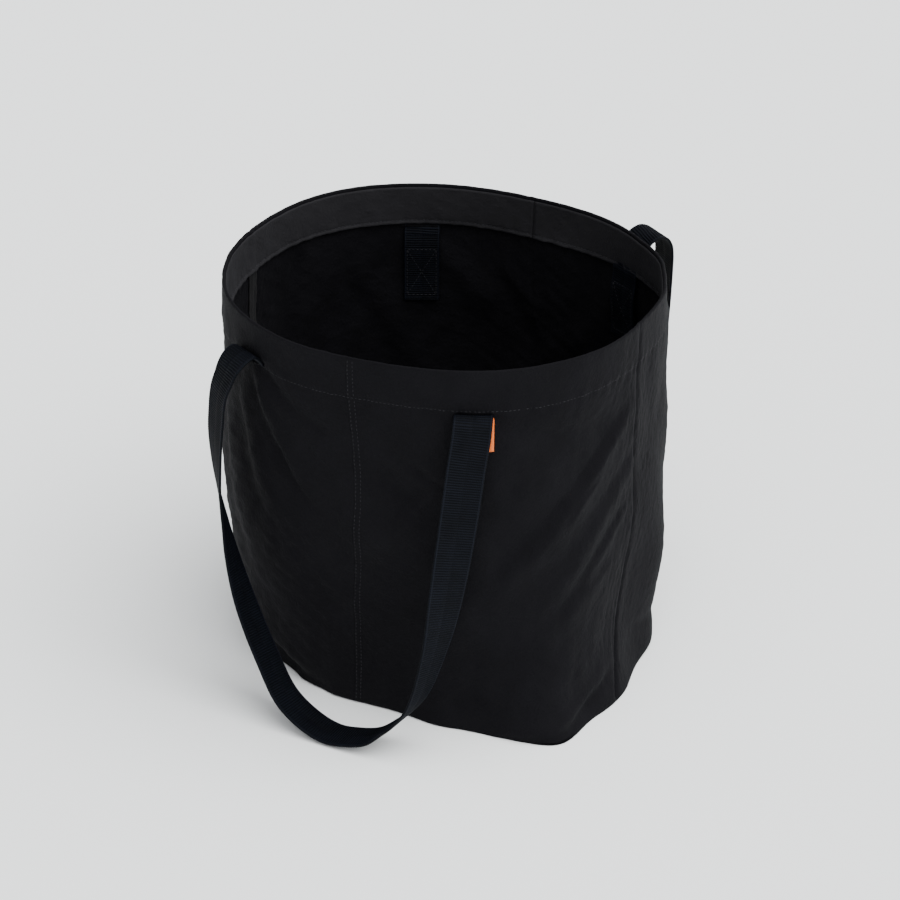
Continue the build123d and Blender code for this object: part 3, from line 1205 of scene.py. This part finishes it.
setting = {
    "floorColour": (0.94, 0.962, 0.955),
    "dimSky": (0.16, 0.16, 0.172),
    "brightSky": (1.9, 1.91, 1.95),
    "skySide": (0.86, -0.12, 0.5),
    "sunFrom": Vector((0.42, -0.02, 0.95)),
    "sunStrength": 3.1,
    "sunWidth": 62.0,           # degrees, a broad soft source
    "cameraTarget": Vector((0, -0.049, 0.170)),
    "cameraTurn": 27.7,
    "cameraRise": 29.0,
    "cameraAway": 3.0,
    "cameraLens": 140.7,
    "cameraShift": (0.0407, 0.0266),
    "floorReach": 30,
    "floorDrop": 0.4 * mm,
}


def floorPlane():
    mesh = bpy.data.meshes.new("floor")
    reach = setting["floorReach"]
    corners = [(-reach, -reach, 0), (reach, -reach, 0), (reach, reach, 0), (-reach, reach, 0)]
    mesh.from_pydata(corners, [], [(0, 1, 2, 3)])
    material = bpy.data.materials.new("floorPaper")
    material.use_nodes = True
    shader = material.node_tree.nodes["Principled BSDF"]
    shader.inputs["Base Color"].default_value = (*setting["floorColour"], 1)
    shader.inputs["Roughness"].default_value = 0.9
    shader.inputs["Specular IOR Level"].default_value = 0.1
    mesh.materials.append(material)
    floor = bpy.data.objects.new("floor", mesh)
    floor.location.z = -setting["floorDrop"]
    bpy.context.scene.collection.objects.link(floor)


floorPlane()
world = bpy.data.worlds.new("studio")
world.use_nodes = True
sky = world.node_tree
aim = sky.nodes.new("ShaderNodeVectorMath")
aim.operation = "DOT_PRODUCT"
aim.inputs[1].default_value = setting["skySide"]
sky.links.new(sky.nodes.new("ShaderNodeTexCoord").outputs["Generated"], aim.inputs[0])
spread = sky.nodes.new("ShaderNodeMapRange")
spread.interpolation_type = "SMOOTHSTEP"
spread.inputs["From Min"].default_value = -0.7
spread.inputs["From Max"].default_value = 0.9
sky.links.new(aim.outputs["Value"], spread.inputs["Value"])
skyMix = sky.nodes.new("ShaderNodeMix")
skyMix.data_type = "RGBA"
skyMix.inputs["A"].default_value = (*setting["dimSky"], 1)
skyMix.inputs["B"].default_value = (*setting["brightSky"], 1)
sky.links.new(spread.outputs["Result"], skyMix.inputs["Factor"])
sky.links.new(skyMix.outputs["Result"], sky.nodes["Background"].inputs["Color"])
bpy.context.scene.world = world
sun = bpy.data.lights.new("softSun", "SUN")
sun.energy = setting["sunStrength"]
sun.angle = math.radians(setting["sunWidth"])
sunPiece = bpy.data.objects.new("softSun", sun)
sunPiece.rotation_euler = setting["sunFrom"].to_track_quat("Z", "Y").to_euler()
bpy.context.scene.collection.objects.link(sunPiece)

turn = math.radians(setting["cameraTurn"])
rise = math.radians(setting["cameraRise"])
back = Vector((math.sin(turn) * math.cos(rise), -math.cos(turn) * math.cos(rise), math.sin(rise)))
lens = bpy.data.cameras.new("camera")
lens.lens = setting["cameraLens"]
lens.sensor_width = 36
lens.shift_x, lens.shift_y = setting["cameraShift"]
camera = bpy.data.objects.new("camera", lens)
camera.location = setting["cameraTarget"] + back * setting["cameraAway"]
camera.rotation_euler = back.to_track_quat("Z", "Y").to_euler()
bpy.context.scene.collection.objects.link(camera)
bpy.context.scene.camera = camera
